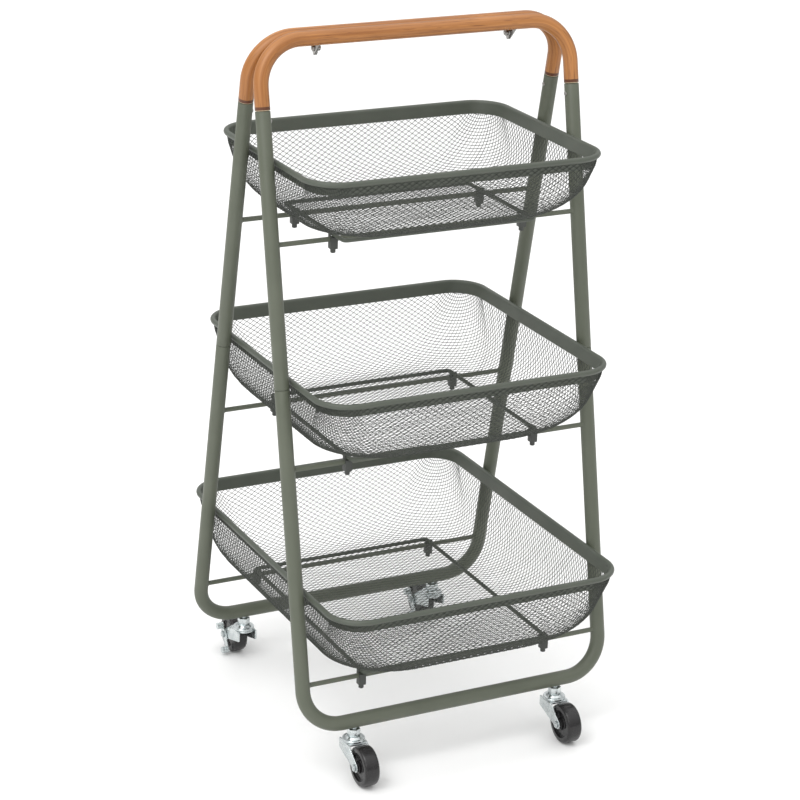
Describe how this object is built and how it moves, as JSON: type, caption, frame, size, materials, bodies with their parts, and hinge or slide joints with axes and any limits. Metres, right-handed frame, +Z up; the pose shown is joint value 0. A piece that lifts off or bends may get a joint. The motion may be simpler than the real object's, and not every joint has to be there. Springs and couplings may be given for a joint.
{
  "type": "rolling utility cart",
  "caption": "Folding bent-tube cart on swivel casters, with lift-out mesh baskets one above the other and a wood-look handle.",
  "frame": {"origin": "on the floor, in the middle of the cart's width and depth", "axes": "+Z up, +X to the cart's right along the handle bars, -Y to its front"},
  "size_m": [0.427, 0.478, 0.8838],
  "materials": {
    "frame_paint": "satin grey-green powder coat",
    "handle_wood": "honey-brown wood-grain film on steel tube",
    "basket_paint": "satin dark grey-green powder coat",
    "basket_mesh": "woven wire, dark grey-green powder coat",
    "clip_plastic": "matte dark grey moulded plastic",
    "zinc": "bright zinc plate",
    "fastener_steel": "plain steel",
    "wheel_tyre": "black hard plastic, slightly glossy"
  },
  "bodies": {
    "front_frame": {"handle_front": "handle_wood", "upper_leg_front_left": "frame_paint", "upper_leg_front_right": "frame_paint", "base_front": "frame_paint", "leg_screw_front_left": "fastener_steel", "leg_screw_front_right": "fastener_steel", "crossbar_front_top": "frame_paint", "clip_front_top_left": "clip_plastic", "clip_front_top_right": "clip_plastic", "crossbar_front_middle": "frame_paint", "clip_front_middle_left": "clip_plastic", "clip_front_middle_right": "clip_plastic", "crossbar_front_bottom": "frame_paint", "clip_front_bottom_left": "clip_plastic", "clip_front_bottom_right": "clip_plastic", "hinge_bolt_left": "fastener_steel", "hinge_bolt_right": "fastener_steel", "caster_front_left_stem": "zinc", "caster_front_right_stem": "zinc"},
    "back_frame": {"handle_back": "handle_wood", "upper_leg_back_left": "frame_paint", "upper_leg_back_right": "frame_paint", "base_back": "frame_paint", "leg_screw_back_left": "fastener_steel", "leg_screw_back_right": "fastener_steel", "crossbar_back_top": "frame_paint", "clip_back_top_left": "clip_plastic", "clip_back_top_right": "clip_plastic", "crossbar_back_middle": "frame_paint", "clip_back_middle_left": "clip_plastic", "clip_back_middle_right": "clip_plastic", "crossbar_back_bottom": "frame_paint", "clip_back_bottom_left": "clip_plastic", "clip_back_bottom_right": "clip_plastic", "caster_back_left_stem": "zinc", "caster_back_right_stem": "zinc"},
    "basket_top": {"basket_top_rim": "basket_paint", "basket_top_tray": "basket_mesh", "basket_top_wire_frame": "basket_paint"},
    "basket_middle": {"basket_middle_rim": "basket_paint", "basket_middle_tray": "basket_mesh", "basket_middle_wire_frame": "basket_paint"},
    "basket_bottom": {"basket_bottom_rim": "basket_paint", "basket_bottom_tray": "basket_mesh", "basket_bottom_wire_frame": "basket_paint"},
    "caster_front_left": {"caster_front_left_fork": "zinc", "caster_front_left_axle": "fastener_steel"},
    "wheel_front_left": {"caster_front_left_wheel": "wheel_tyre"},
    "caster_front_right": {"caster_front_right_fork": "zinc", "caster_front_right_axle": "fastener_steel"},
    "wheel_front_right": {"caster_front_right_wheel": "wheel_tyre"},
    "caster_back_left": {"caster_back_left_fork": "zinc", "caster_back_left_axle": "fastener_steel"},
    "wheel_back_left": {"caster_back_left_wheel": "wheel_tyre"},
    "brake_back_left": {"caster_back_left_brake_lever": "zinc"},
    "caster_back_right": {"caster_back_right_fork": "zinc", "caster_back_right_axle": "fastener_steel"},
    "wheel_back_right": {"caster_back_right_wheel": "wheel_tyre"},
    "brake_back_right": {"caster_back_right_brake_lever": "zinc"}
  },
  "joints": [
    {"name": "frame_fold", "type": "hinge", "parent": "front_frame", "child": "back_frame", "pos_m": [0, 0, 0.861], "axis": [1, 0, 0], "range_deg": [-12, 0]},
    {"name": "basket_top_lift", "type": "slide", "parent": "front_frame", "child": "basket_top", "axis": [0, 0, 1], "range_m": [0, 0.03]},
    {"name": "basket_middle_lift", "type": "slide", "parent": "front_frame", "child": "basket_middle", "axis": [0, 0, 1], "range_m": [0, 0.03]},
    {"name": "basket_bottom_lift", "type": "slide", "parent": "front_frame", "child": "basket_bottom", "axis": [0, 0, 1], "range_m": [0, 0.03]},
    {"name": "caster_front_left_swivel", "type": "hinge", "parent": "front_frame", "child": "caster_front_left", "pos_m": [-0.14, -0.1695, 0.045], "axis": [0, 0, 1], "continuous": true},
    {"name": "wheel_front_left_spin", "type": "hinge", "parent": "caster_front_left", "child": "wheel_front_left", "pos_m": [-0.14, -0.2015, 0.025], "axis": [1, 0, 0], "continuous": true},
    {"name": "caster_front_right_swivel", "type": "hinge", "parent": "front_frame", "child": "caster_front_right", "pos_m": [0.14, -0.1695, 0.045], "axis": [0, 0, 1], "continuous": true},
    {"name": "wheel_front_right_spin", "type": "hinge", "parent": "caster_front_right", "child": "wheel_front_right", "pos_m": [0.14, -0.2015, 0.025], "axis": [1, 0, 0], "continuous": true},
    {"name": "caster_back_left_swivel", "type": "hinge", "parent": "back_frame", "child": "caster_back_left", "pos_m": [-0.14, 0.1695, 0.045], "axis": [0, 0, 1], "continuous": true},
    {"name": "wheel_back_left_spin", "type": "hinge", "parent": "caster_back_left", "child": "wheel_back_left", "pos_m": [-0.14, 0.2015, 0.025], "axis": [1, 0, 0], "continuous": true},
    {"name": "brake_back_left_press", "type": "hinge", "parent": "caster_back_left", "child": "brake_back_left", "pos_m": [-0.14, 0.2015, 0.025], "axis": [1, 0, 0], "range_deg": [-15, 0]},
    {"name": "caster_back_right_swivel", "type": "hinge", "parent": "back_frame", "child": "caster_back_right", "pos_m": [0.14, 0.1695, 0.045], "axis": [0, 0, 1], "continuous": true},
    {"name": "wheel_back_right_spin", "type": "hinge", "parent": "caster_back_right", "child": "wheel_back_right", "pos_m": [0.14, 0.2015, 0.025], "axis": [1, 0, 0], "continuous": true},
    {"name": "brake_back_right_press", "type": "hinge", "parent": "caster_back_right", "child": "brake_back_right", "pos_m": [0.14, 0.2015, 0.025], "axis": [1, 0, 0], "range_deg": [-15, 0]}
  ]
}
